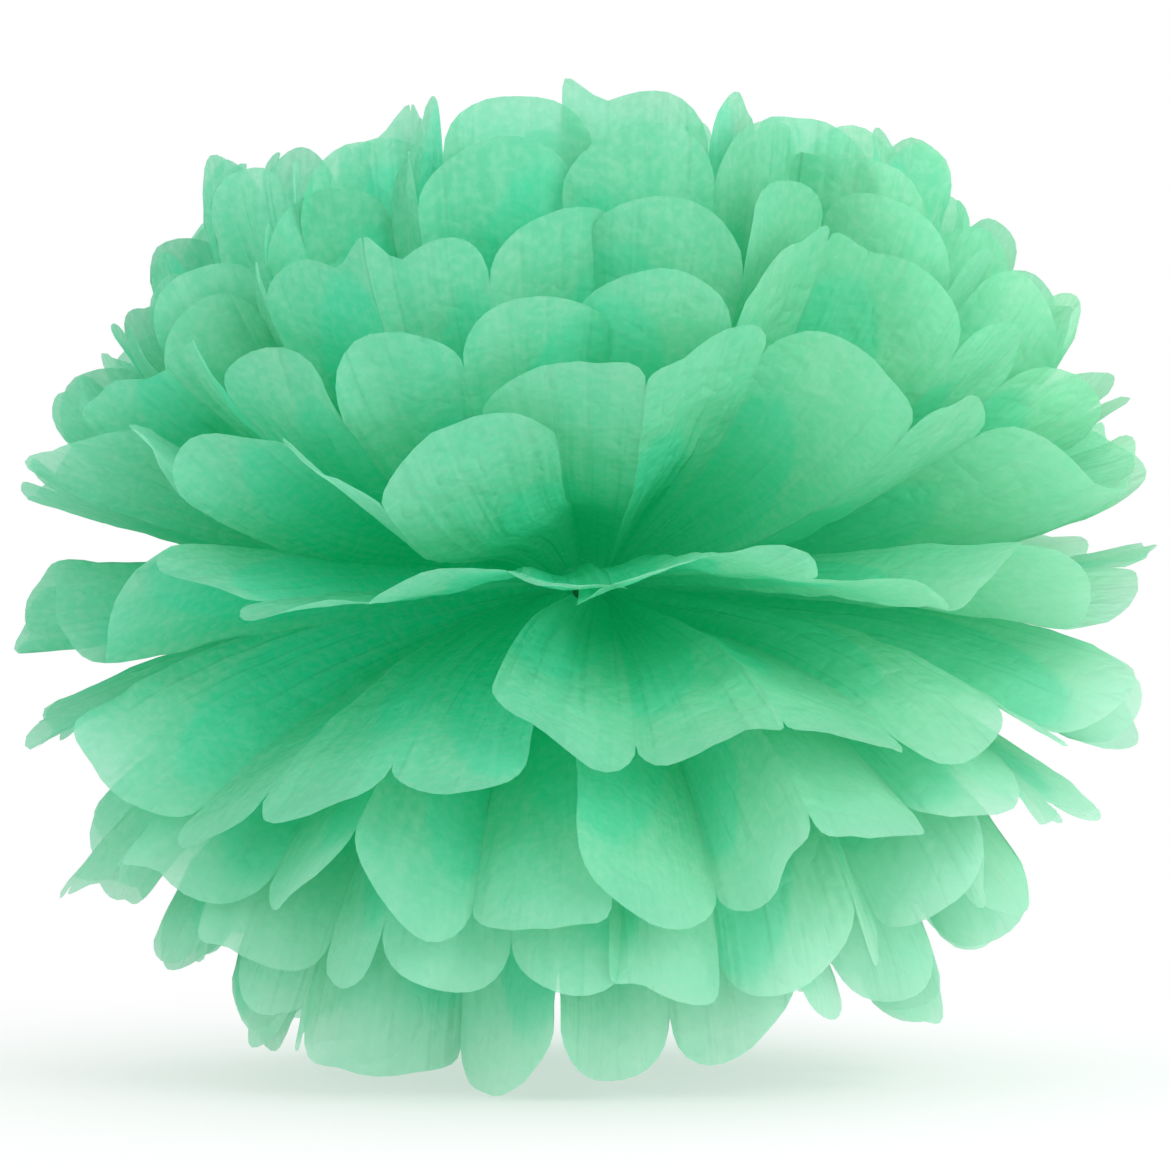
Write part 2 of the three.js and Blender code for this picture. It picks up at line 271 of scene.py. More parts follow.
@dataclass
class FoldRule:
    """The rule that all folds follow from the tie to the petal tips. Sizes in mm."""

    pleats: int = 13
    pleat_width: float = 37.0
    tie_to_tip: float = 168.0
    stack_pitch: float = 1.4
    waist_width: float = 12.6
    waist_ripple: float = 0.6
    stack_middle: float = 0.5
    stack_reach: float = 6.6
    fan_start: float = 2.0
    fan_end: float = 13.0
    ramp_end: float = 70.0
    curl_power: float = 1.5
    arch_end: float = 110.0
    arch_folds: float = 3.0
    step: float = 2.0
    eye_distance: float = 1500.0
    rise_drift: float = 3.0
    most_crest: float = 11.0
    crest_power: float = 0.75
    back_tilt: float = 11.0
    spare_length: float = 12.0
    root_ramp: float = 10.0
    most_lift: float = 70.0
    first_heading: float = -60.0
    uneven: float = 0.2
    back_blend: int = 3

    @property
    def tie_to_notch(self) -> float:
        """Distance along a fold from the tie to the notch between two petals."""
        return self.tie_to_tip - self.pleat_width / 2

    def path(
        self, plan: SheetPlan, fold: int, side: int, azimuth: float, lift: float
    ) -> np.ndarray:
        """Lay one fold out from the tie.

        Args:
            plan: The sheet's pose.
            fold: The fold's place from the front seam.
            side: -1 for the left half, 1 for the right half.
            azimuth: Where the fold heads, in degrees from the half's own axis.
            lift: Slope added to the sheet's own, in degrees.

        Returns:
            Points every step along the fold, in mm.
        """
        count = math.ceil((self.tie_to_tip + self.spare_length) / self.step)
        along = (np.arange(count) + 0.5) * self.step
        turn = math.radians(azimuth) * smooth(
            (along - self.fan_start) / (self.fan_end - self.fan_start)
        )
        root = np.clip((along - self.fan_start) / self.root_ramp, 0, 1)
        curl = (along / self.tie_to_tip) ** self.curl_power
        own = smooth(along / self.ramp_end)
        slope = np.radians(plan.root * root + (plan.tip - plan.root) * curl + lift * own)
        steps = np.stack(
            [side * np.cos(turn) * np.cos(slope), np.sin(turn) * np.cos(slope), np.sin(slope)],
            axis=1,
        )
        gather = math.sqrt(1 - ((plan.level - self.stack_middle) / self.stack_reach) ** 2)
        start = np.array(
            [
                0.0,
                (fold / self.pleats - 0.5) * self.waist_width * gather,
                plan.level * self.stack_pitch + (-1 if fold % 2 else 1) * self.waist_ripple,
            ]
        )
        points = np.vstack([start, start + np.cumsum(steps * self.step, axis=0)])
        arch = plan.arch * max(0.0, 1 - fold / self.arch_folds)
        share = np.minimum(1, np.arange(count + 1) * self.step / self.arch_end)
        points[:, 2] += arch * np.sin(np.pi * share)
        return points

    def at(self, path: np.ndarray, distance: np.ndarray | float) -> np.ndarray:
        """Points on a fold path at distances from the tie, in mm."""
        place = np.asarray(distance, float) / self.step
        index = np.minimum(len(path) - 2, np.floor(place).astype(int))
        part = (place - index)[..., None]
        return path[index] * (1 - part) + path[index + 1] * part

    def notch(self, path: np.ndarray, side: int) -> Triple:
        """Where a fold's notch is seen from the tie.

        Args:
            path: The fold's points.
            side: The half, -1 or 1.

        Returns:
            Its distance in mm, its azimuth and its rise in degrees.
        """
        point = self.at(path, self.tie_to_notch)
        azimuth = math.degrees(math.atan2(point[1], side * point[0]))
        rise = math.degrees(math.atan2(point[2], math.hypot(point[0], point[1])))
        return float(np.linalg.norm(point)), azimuth, rise

    def path_at_rise(
        self, plan: SheetPlan, fold: int, side: int, azimuth: float, rise: float
    ) -> np.ndarray:
        """The path of a fold that brings its notch to the wanted rise.

        Args:
            plan: The sheet's pose.
            fold: The fold's place from the front seam.
            side: The half, -1 or 1.
            azimuth: The fold's heading in degrees.
            rise: The wanted rise in degrees.

        Returns:
            The fold's points.
        """
        low, high = -self.most_lift, self.most_lift
        path = self.path(plan, fold, side, azimuth, 0.0)
        for _ in range(16):
            middle = (low + high) / 2
            path = self.path(plan, fold, side, azimuth, middle)
            if self.notch(path, side)[2] < rise:
                low = middle
            else:
                high = middle
        return path

    def path_to_view(
        self, plan: SheetPlan, fold: int, side: int, aim: Pair
    ) -> tuple[np.ndarray, float]:
        """The path of a fold whose notch stands at a point of the front view.

        Args:
            plan: The sheet's pose.
            fold: The fold's place from the front seam.
            side: The half, -1 or 1.
            aim: Right and up of the tie in the front view, in mm.

        Returns:
            The fold's points and its heading in degrees.
        """
        right, up = aim
        reach, azimuth = self.tie_to_notch, self.first_heading
        path = self.path(plan, fold, side, azimuth, 0.0)
        for _ in range(6):
            depth = 0.0
            for _ in range(3):
                scale = (self.eye_distance + depth) / self.eye_distance
                left_over = reach**2 - (right * scale) ** 2 - (up * scale) ** 2
                depth = -math.sqrt(max(0.0, left_over))
            scale = (self.eye_distance + depth) / self.eye_distance
            across = math.hypot(right * scale, depth)
            rise = math.degrees(math.atan2(up * scale, across))
            wanted = math.degrees(math.atan2(depth, side * right * scale))
            path = self.path_at_rise(plan, fold, side, azimuth, rise)
            reach, azimuth_now, _ = self.notch(path, side)
            azimuth += wanted - azimuth_now
        return path, azimuth

    def crest(self, path: np.ndarray, size: float) -> np.ndarray:
        """Move a fold off its sheet's mean surface, as a crest or a valley of the pleats."""
        run = np.gradient(path, axis=0)
        middle = path[len(path) // 2, :2] - path[0, :2]
        heading = middle / max(1e-9, float(np.linalg.norm(middle)))
        flat = run[:, :2] @ heading
        normal = np.column_stack([-heading[0] * run[:, 2], -heading[1] * run[:, 2], flat])
        normal /= np.maximum(np.linalg.norm(normal, axis=1, keepdims=True), 1e-9)
        share = np.clip(np.arange(len(path)) * self.step / self.tie_to_notch, 0, 1)
        return path + normal * (size * share**self.crest_power)[:, None]

    def half(self, plan: SheetPlan, half: Half) -> list[np.ndarray]:
        """All folds of one half of a sheet.

        Args:
            plan: The sheet's pose.
            half: Which half.

        Returns:
            The folds' points, in order from the front seam to the back seam.
        """
        side = half.value
        fan = plan.left if half is Half.LEFT else plan.right
        plan = replace(plan, rise=plan.rise + fan.lift, tip=plan.tip + fan.curl)
        placed = [self.path_to_view(plan, i, side, aim) for i, aim in enumerate(fan.front)]
        paths = [path for path, _ in placed]
        first = placed[-1][1]
        last_rise = self.notch(paths[-1], side)[2]
        rest = self.pleats - (len(fan.front) - 1)
        even = 1 - self.uneven / 2
        weights = [even + self.uneven * chance(plan.seed + side * 3, i) for i in range(rest)]
        azimuth = first
        for pleat, weight in enumerate(weights):
            azimuth += weight / sum(weights) * (fan.back - first)
            fold = len(fan.front) + pleat
            drift = self.rise_drift * (chance(plan.seed + 40 + side * 5, fold) - 0.5)
            blend = min(1.0, (pleat + 1) / self.back_blend)
            turned = math.radians(min(90.0, max(-90.0, azimuth)))
            lean = self.back_tilt * math.cos(math.radians(plan.rise)) * math.sin(turned)
            rise = last_rise + (plan.rise + lean - last_rise) * blend + drift
            paths.append(self.path_at_rise(plan, fold, side, azimuth, rise))
        notches = [self.at(path, self.tie_to_notch) for path in paths]
        swings = []
        for near, far in zip(notches, notches[1:]):
            flat = float(np.linalg.norm(far - near))
            full = math.sqrt(max(0.0, self.pleat_width**2 - flat**2))
            swings.append(min(2 * self.most_crest, full))
        shaped = []
        for fold, path in enumerate(paths):
            both = swings[max(0, fold - 1)] + swings[min(self.pleats - 1, fold)]
            share = plan.front_crest if fold < min(4, len(fan.front)) else 1.0
            shaped.append(self.crest(path, share * (-1 if fold % 2 else 1) * both / 4))
        return shaped


@dataclass(frozen=True)
class TissueFinish:
    """Thin sea-green tissue paper: matt, fibrous and lit through from behind, with painted light
    and painted shade in its colour.
    """

    # Deeper, more saturated green: painted shade towards the petal roots and under overlapping
    # petals, and also the paper's real mottle.
    painted_shade_and_mottle: Triple = (0.016, 0.80, 0.50)
    body: Triple = (0.07, 0.74, 0.42)
    # Paler green: painted light at the petal tips and along the folds, and also each petal's real
    # random tone.
    tip: Triple = (0.31, 0.75, 0.53)
    # Painted light: very pale green on the lower, right and outer petals.
    low: Triple = (0.60, 0.93, 0.76)
    # Painted light: a brighter, yellower green on the right side.
    painted_right_light: Triple = (0.36, 0.88, 0.49)
    # Painted shade: darker green on the top petals.
    high: Triple = (0.09, 0.48, 0.29)
    fibre_tint: Triple = (0.72, 0.93, 0.80)
    streak_tint: Triple = (0.62, 0.93, 0.74)
    # Painted glow: emission in the paper, standing in for light passed through the sheets.
    painted_glow: Triple = (0.018, 0.38, 0.19)
    painted_glow_share: float = 0.36
    painted_tip_light_share: float = 0.85
    painted_right_light_share: float = 0.75
    painted_right_light_zone: Pair = (-0.05, 0.17)
    painted_low_light_right: float = 0.25
    painted_low_light_out: float = 0.5
    painted_low_light_zone: Pair = (0.05, 0.16)
    painted_low_light_on_tip: float = 0.7
    painted_low_light_everywhere: float = 0.25
    painted_top_shade_share: float = 0.36
    painted_top_shade_zone: Pair = (0.04, 0.14)
    fibre_share: float = 0.19
    streak_share: float = 0.13
    cloud_share: float = 0.16
    tone_share: float = 0.22
    painted_overlap_shade_share: float = 0.34
    painted_fold_highlight_share: float = 0.3
    see_through: float = 0.48
    cover: float = 0.6
    roughness: float = 0.72
    specular: float = 0.25
    bump_strength: float = 0.6
    bump_depth: float = 0.0008
    streak_height: float = 0.8
    fibre_scale: float = 420.0
    crinkle_scale: float = 95.0
    cloud_scale: float = 34.0
    fibre_zone: Pair = (0.35, 0.72)
    cloud_zone: Pair = (0.3, 0.7)
    ridge_gain: float = 5.0
    fibre_height: float = 0.18


@dataclass(frozen=True)
class PetalPattern:
    """Where a petal's marks lie, with x across it and y from 0 at the tie to 1 at the tip."""

    tip_zone: Pair = (0.56, 1.1)
    thin_zone: Pair = (0.82, 1.06)
    root_zone: Pair = (0.2, 0.92)
    fold_zone: Pair = (0.47, 0.5)
    # Painted shadow of the overlapping petal: a patch with a curved edge, near the root and the
    # first fold.
    overlap_shade_slope: float = -2.3
    overlap_shade_start: float = 2.58
    overlap_shade_shift: float = 0.55
    overlap_shade_bend: float = 1.8
    painted_overlap_shade_zone: Pair = (-0.05, 0.07)
    streaks_across: float = 8.0
    streaks_along: float = 1.6
    streaks_apart: float = 60.0
    streak_zone: Pair = (0.4, 0.66)


@dataclass(frozen=True)
class WireFinish:
    """Dark green coated florist's wire."""

    colour: Triple = (0.02, 0.13, 0.065)
    worn: Triple = (0.06, 0.26, 0.14)
    worn_share: float = 0.5
    mark_scale: float = 900.0
    roughness: float = 0.38
    coat: float = 0.3


def show(item: bpy.types.Object) -> None:
    """Put an object into the scene."""
    bpy.context.scene.collection.objects.link(item)


def new_group(name: str, inputs: dict[str, tuple[str, float]], outputs: tuple[str, ...]) -> Tree:
    """Make an empty shader node group.

    Args:
        name: The group's name.
        inputs: Socket kinds and default values by name.
        outputs: Names of the values it puts out.

    Returns:
        The node tree with its group input and output nodes.
    """
    tree = bpy.data.node_groups.new(name, "ShaderNodeTree")
    for label, (kind, value) in inputs.items():
        socket = tree.interface.new_socket(label, in_out="INPUT", socket_type=kind)
        if kind == "NodeSocketFloat":
            socket.default_value = value
    for label in outputs:
        tree.interface.new_socket(label, in_out="OUTPUT", socket_type="NodeSocketFloat")
    tree.nodes.new("NodeGroupInput")
    tree.nodes.new("NodeGroupOutput")
    return tree


def put(node: bpy.types.Node, **values: object) -> None:
    """Set a node's inputs by name, with _ for a space."""
    for name, value in values.items():
        node.inputs[name.replace("_", " ")].default_value = value


def maths(
    tree: Tree, how: str, first: object, second: object = None, clamp: bool = False
) -> Socket:
    """Add a Math node.

    Args:
        tree: The node tree.
        how: The operation's name.
        first: A socket or a number.
        second: A socket, a number or nothing.
        clamp: Whether the result is kept from 0 to 1.

    Returns:
        The node's output.
    """
    node = tree.nodes.new("ShaderNodeMath")
    node.operation = how
    node.use_clamp = clamp
    for slot, value in zip(node.inputs, (first, second)):
        if isinstance(value, Socket):
            tree.links.new(value, slot)
        elif value is not None:
            slot.default_value = value
    return node.outputs[0]


def ramp(tree: Tree, value: Socket, low: float, high: float) -> Socket:
    """Map a value smoothly from low..high to 0..1 and return the output socket."""
    node = tree.nodes.new("ShaderNodeMapRange")
    node.interpolation_type = "SMOOTHSTEP"
    put(node, From_Min=low, From_Max=high)
    tree.links.new(value, node.inputs["Value"])
    return node.outputs["Result"]


def mix_colour(tree: Tree, factor: object, first: object, second: object) -> Socket:
    """Add a colour Mix node.

    Args:
        tree: The node tree.
        factor: A socket or a number.
        first: A socket or a colour.
        second: A socket or a colour.

    Returns:
        The mixed colour.
    """
    node = tree.nodes.new("ShaderNodeMix")
    node.data_type = "RGBA"
    slots = (node.inputs[0], node.inputs[6], node.inputs[7])
    for slot, value in zip(slots, (factor, first, second)):
        if isinstance(value, Socket):
            tree.links.new(value, slot)
        elif isinstance(value, (int, float)):
            slot.default_value = value
        else:
            slot.default_value = (*value, 1.0)
    return node.outputs[2]


def mix_shaders(tree: Tree, factor: object, first: object, second: object) -> Socket:
    """Add a Mix Shader node.

    Args:
        tree: The node tree.
        factor: A socket or a number.
        first: The shader shown at 0.
        second: The shader shown at 1.

    Returns:
        The mixed shader.
    """
    node = tree.nodes.new("ShaderNodeMixShader")
    if isinstance(factor, Socket):
        tree.links.new(factor, node.inputs[0])
    else:
        node.inputs[0].default_value = factor
    tree.links.new(first, node.inputs[1])
    tree.links.new(second, node.inputs[2])
    return node.outputs[0]


def seen_directly(tree: Tree) -> Socket:
    """1 for rays that show a surface to the camera, directly, in a mirror or through glass."""
    rays = tree.nodes.new("ShaderNodeLightPath")
    seen = maths(tree, "MAXIMUM", rays.outputs["Is Camera Ray"], rays.outputs["Is Glossy Ray"])
    return maths(tree, "MAXIMUM", seen, rays.outputs["Is Transmission Ray"])


def geometry_tree(name: str, inputs: tuple[tuple[str, str], ...]) -> Tree:
    """Make a geometry node tree that takes a mesh, named values and a finish.

    Args:
        name: The tree's name.
        inputs: The values' names and socket kinds.

    Returns:
        The node tree with its group input and output nodes.
    """
    tree = bpy.data.node_groups.new(name, "GeometryNodeTree")
    face = tree.interface
    face.new_socket("Geometry", in_out="INPUT", socket_type="NodeSocketGeometry")
    for label, kind in inputs:
        face.new_socket(label, in_out="INPUT", socket_type=kind)
    face.new_socket("Finish", in_out="INPUT", socket_type="NodeSocketMaterial")
    face.new_socket("Geometry", in_out="OUTPUT", socket_type="NodeSocketGeometry")
    tree.nodes.new("NodeGroupInput")
    tree.nodes.new("NodeGroupOutput")
    return tree


def end_tree(tree: Tree, shape: Socket) -> None:
    """End a geometry node tree with Realize Instances and Set Material."""
    real = tree.nodes.new("GeometryNodeRealizeInstances")
    tree.links.new(shape, real.inputs[0])
    dress = tree.nodes.new("GeometryNodeSetMaterial")
    tree.links.new(real.outputs[0], dress.inputs["Geometry"])
    tree.links.new(tree.nodes["Group Input"].outputs["Finish"], dress.inputs["Material"])
    tree.links.new(dress.outputs[0], tree.nodes["Group Output"].inputs["Geometry"])


def run_tree(
    mesh: bpy.types.Mesh, tree: Tree, values: dict[str, object], name: str
) -> bpy.types.Mesh:
    """Run a geometry node tree on a mesh.

    Args:
        mesh: The mesh to start from.
        tree: The node tree.
        values: The tree's inputs by name.
        name: The new mesh's name.

    Returns:
        The plain mesh that comes out.
    """
    raw = bpy.data.objects.new(name + "_raw", mesh)
    show(raw)
    modifier = raw.modifiers.new("nodes", "NODES")
    modifier.node_group = tree
    for item in tree.interface.items_tree:
        if item.in_out == "INPUT" and item.name in values:
            modifier[item.identifier] = values[item.name]
    graph = bpy.context.evaluated_depsgraph_get()
    plain = bpy.data.meshes.new_from_object(raw.evaluated_get(graph))
    plain.name = name
    bpy.data.objects.remove(raw)
    return plain


class TissueLook:
    """Builds the tissue material and the groups it is made of."""

    def __init__(self, finish: TissueFinish, pattern: PetalPattern) -> None:
        """Keep the finish's values and the places of a petal's marks."""
        self.finish = finish
        self.pattern = pattern

    def fibre_group(self) -> Tree:
        """The paper's fibres, clouds and crinkles as masks and a height."""
        tree = new_group(
            "tissue_fibres",
            {
                "Vector": ("NodeSocketVector", 0.0),
                "Fibre Scale": ("NodeSocketFloat", 400.0),
                "Crinkle Scale": ("NodeSocketFloat", 90.0),
            },
            ("Fibres", "Clouds", "Height"),
        )
        link = tree.links.new
        inside, out = tree.nodes["Group Input"], tree.nodes["Group Output"]
        fibre = tree.nodes.new("ShaderNodeTexNoise")
        put(fibre, Detail=2.0)
        cloud = tree.nodes.new("ShaderNodeTexNoise")
        put(cloud, Detail=2.0, Scale=self.finish.cloud_scale)
        crease = tree.nodes.new("ShaderNodeTexNoise")
        put(crease, Detail=2.0)
        for node in (fibre, cloud, crease):
            link(inside.outputs["Vector"], node.inputs["Vector"])
        link(inside.outputs["Fibre Scale"], fibre.inputs["Scale"])
        link(inside.outputs["Crinkle Scale"], crease.inputs["Scale"])
        ridge = maths(tree, "SUBTRACT", crease.outputs[0], 0.5)
        ridge = maths(tree, "ABSOLUTE", ridge)
        ridge = maths(tree, "MULTIPLY", ridge, self.finish.ridge_gain, clamp=True)
        height = maths(tree, "MULTIPLY_ADD", fibre.outputs[0], self.finish.fibre_height)
        link(ridge, height.node.inputs[2])
        link(ramp(tree, fibre.outputs[0], *self.finish.fibre_zone), out.inputs["Fibres"])
        link(ramp(tree, cloud.outputs[0], *self.finish.cloud_zone), out.inputs["Clouds"])
        link(height, out.inputs["Height"])
        return tree

    def petal_group(self) -> Tree:
        """Where on a petal a point is, as masks for its tip, its cut edge and its folds, and for
        painted overlap shade.
        """
        tree = new_group(
            "petal_place",
            {"UV": ("NodeSocketVector", 0.0), "Tone": ("NodeSocketFloat", 0.5)},
            ("Tip", "Thin", "Root", "Fold", "Painted Overlap Shade", "Streaks"),
        )
        link = tree.links.new
        pattern = self.pattern
        inside, out = tree.nodes["Group Input"], tree.nodes["Group Output"]
        tone = inside.outputs["Tone"]
        split = tree.nodes.new("ShaderNodeSeparateXYZ")
        link(inside.outputs["UV"], split.inputs[0])
        across, along = split.outputs["X"], split.outputs["Y"]
        link(ramp(tree, along, *pattern.tip_zone), out.inputs["Tip"])
        link(ramp(tree, along, *pattern.thin_zone), out.inputs["Thin"])
        root = ramp(tree, along, *pattern.root_zone)
        link(maths(tree, "SUBTRACT", 1.0, root), out.inputs["Root"])
        centre = maths(tree, "SUBTRACT", across, 0.5)
        centre = maths(tree, "ABSOLUTE", centre)
        link(ramp(tree, centre, *pattern.fold_zone), out.inputs["Fold"])
        # Painted shadow of the overlapping petal, with a curved edge.
        inner = maths(tree, "MULTIPLY_ADD", along, pattern.overlap_shade_slope)
        inner.node.inputs[2].default_value = pattern.overlap_shade_start
        inner = maths(tree, "SUBTRACT", inner, across)
        shift = maths(tree, "MULTIPLY", tone, pattern.overlap_shade_shift)
        inner = maths(tree, "SUBTRACT", inner, shift)
        bend = maths(tree, "MULTIPLY", centre, centre)
        bend = maths(tree, "MULTIPLY", bend, pattern.overlap_shade_bend)
        inner = maths(tree, "SUBTRACT", inner, bend)
        link(ramp(tree, inner, *pattern.painted_overlap_shade_zone), out.inputs["Painted Overlap Shade"])
        lines = tree.nodes.new("ShaderNodeCombineXYZ")
        spread = (
            (across, pattern.streaks_across),
            (along, pattern.streaks_along),
            (tone, pattern.streaks_apart),
        )
        for slot, (value, times) in zip(lines.inputs, spread):
            link(maths(tree, "MULTIPLY", value, times), slot)
        streak = tree.nodes.new("ShaderNodeTexNoise")
        put(streak, Scale=1.0, Detail=2.0)
        link(lines.outputs[0], streak.inputs["Vector"])
        link(ramp(tree, streak.outputs[0], *pattern.streak_zone), out.inputs["Streaks"])
        return tree

    def build(self) -> bpy.types.Material:
        """Build the tissue material.

        Returns:
            A matt material that mixes reflected and transmitted light.
        """
        finish = self.finish
        material = bpy.data.materials.new("tissue")
        material.use_transparent_shadow = False
        material.use_nodes = True
        tree = material.node_tree
        link = tree.links.new
        shell = tree.nodes["Principled BSDF"]
        place = tree.nodes.new("ShaderNodeTexCoord")
        uv = tree.nodes.new("ShaderNodeUVMap")
        uv.uv_map = "petal"
        fibres = tree.nodes.new("ShaderNodeGroup")
        fibres.node_tree = self.fibre_group()
        put(fibres, Fibre_Scale=finish.fibre_scale, Crinkle_Scale=finish.crinkle_scale)
        link(place.outputs["Object"], fibres.inputs["Vector"])
        petal = tree.nodes.new("ShaderNodeGroup")
        petal.node_tree = self.petal_group()
        link(uv.outputs[0], petal.inputs["UV"])
        tone = tree.nodes.new("ShaderNodeAttribute")
        tone.attribute_name = "petal_tone"
        link(tone.outputs["Fac"], petal.inputs["Tone"])
        split = tree.nodes.new("ShaderNodeSeparateXYZ")
        link(place.outputs["Object"], split.inputs[0])
        right, up = split.outputs["X"], split.outputs["Z"]
        # Deeper green towards the tie is painted shade.
        plain = mix_colour(tree, petal.outputs["Root"], finish.body, finish.painted_shade_and_mottle)
        # Paler tips are painted light, as if lit through a single layer.
        pale = maths(tree, "MULTIPLY", petal.outputs["Tip"], finish.painted_tip_light_share)
        plain = mix_colour(tree, pale, plain, finish.tip)
        # Painted light on the lower petals, more to the right and outwards, strongest at their
        # tips.
        low = maths(tree, "MULTIPLY", right, finish.painted_low_light_right)
        low = maths(tree, "SUBTRACT", low, up)
        wide = maths(tree, "ABSOLUTE", right)
        wide = maths(tree, "MULTIPLY", wide, finish.painted_low_light_out)
        low = ramp(tree, maths(tree, "ADD", low, wide), *finish.painted_low_light_zone)
        reach = maths(tree, "MULTIPLY_ADD", petal.outputs["Tip"], finish.painted_low_light_on_tip)
        reach.node.inputs[2].default_value = finish.painted_low_light_everywhere
        tints = (
            # Painted light on the right side.
            (ramp(tree, right, *finish.painted_right_light_zone), finish.painted_right_light_share, finish.painted_right_light),
            # Painted light on the lower outer petals.
            (low, reach, finish.low),
            # Painted shade on the top petals.
            (ramp(tree, up, *finish.painted_top_shade_zone), finish.painted_top_shade_share, finish.high),
            (fibres.outputs["Fibres"], finish.fibre_share, finish.fibre_tint),
            (petal.outputs["Streaks"], finish.streak_share, finish.streak_tint),
            (fibres.outputs["Clouds"], finish.cloud_share, finish.painted_shade_and_mottle),
            (tone.outputs["Fac"], finish.tone_share, finish.tip),
            # Painted shade under the overlapping petal.
            (petal.outputs["Painted Overlap Shade"], finish.painted_overlap_shade_share, finish.painted_shade_and_mottle),
            # Painted highlight along the fold lines.
            (petal.outputs["Fold"], finish.painted_fold_highlight_share, finish.tip),
        )
        colour = plain
        for mask, share, tint in tints:
            colour = mix_colour(tree, maths(tree, "MULTIPLY", mask, share), colour, tint)
        link(colour, shell.inputs["Base Color"])
        put(shell, Roughness=finish.roughness, Specular_IOR_Level=finish.specular)
        thin = maths(tree, "MULTIPLY", petal.outputs["Thin"], finish.cover - 1)
        link(maths(tree, "ADD", thin, 1.0), shell.inputs["Alpha"])
        bump = tree.nodes.new("ShaderNodeBump")
        put(bump, Strength=finish.bump_strength, Distance=finish.bump_depth)
        height = maths(tree, "MULTIPLY_ADD", petal.outputs["Streaks"], finish.streak_height)
        link(fibres.outputs["Height"], height.node.inputs[2])
        link(height, bump.inputs["Height"])
        link(bump.outputs[0], shell.inputs["Normal"])
        through = tree.nodes.new("ShaderNodeBsdfTranslucent")
        link(colour, through.inputs["Color"])
        link(bump.outputs[0], through.inputs["Normal"])
        outer = mix_shaders(tree, finish.see_through, shell.outputs[0], through.outputs[0])
        inner = self.inner_paper(tree, plain)
        rays = tree.nodes.new("ShaderNodeLightPath")
        paper = mix_shaders(tree, rays.outputs["Is Camera Ray"], inner, outer)
        link(paper, tree.nodes["Material Output"].inputs["Surface"])
        return material

    def inner_paper(self, tree: Tree, colour: Socket) -> Socket:
        """The paper as light meets it between the sheets, without the fine grain, with a painted
        glow mixed in.

        Args:
            tree: The material's nodes.
            colour: The paper's colour.

        Returns:
            The shader's output.
        """
        front = tree.nodes.new("ShaderNodeBsdfDiffuse")
        back = tree.nodes.new("ShaderNodeBsdfTranslucent")
        tree.links.new(colour, front.inputs["Color"])
        tree.links.new(colour, back.inputs["Color"])
        both = mix_shaders(tree, self.finish.see_through, front.outputs[0], back.outputs[0])
        # Emission that paints a glow into the paper.
        painted_glow = tree.nodes.new("ShaderNodeEmission")
        put(painted_glow, Color=(*self.finish.painted_glow, 1.0))
        return mix_shaders(tree, self.finish.painted_glow_share, both, painted_glow.outputs[0])


def wire_material(finish: WireFinish) -> bpy.types.Material:
    """Build the coated wire's material, with faint drawing marks along it.

    Args:
        finish: The wire's values.

    Returns:
        The material.
    """
    material = bpy.data.materials.new("wire")
    material.use_nodes = True
    tree = material.node_tree
    shell = tree.nodes["Principled BSDF"]
    place = tree.nodes.new("ShaderNodeTexCoord")
    marks = tree.nodes.new("ShaderNodeTexNoise")
    put(marks, Scale=finish.mark_scale, Detail=2.0)
    tree.links.new(place.outputs["Object"], marks.inputs["Vector"])
    factor = maths(tree, "MULTIPLY", marks.outputs[0], finish.worn_share)
    colour = mix_colour(tree, factor, finish.colour, finish.worn)
    tree.links.new(colour, shell.inputs["Base Color"])
    put(shell, Roughness=finish.roughness, Coat_Weight=finish.coat)
    return material


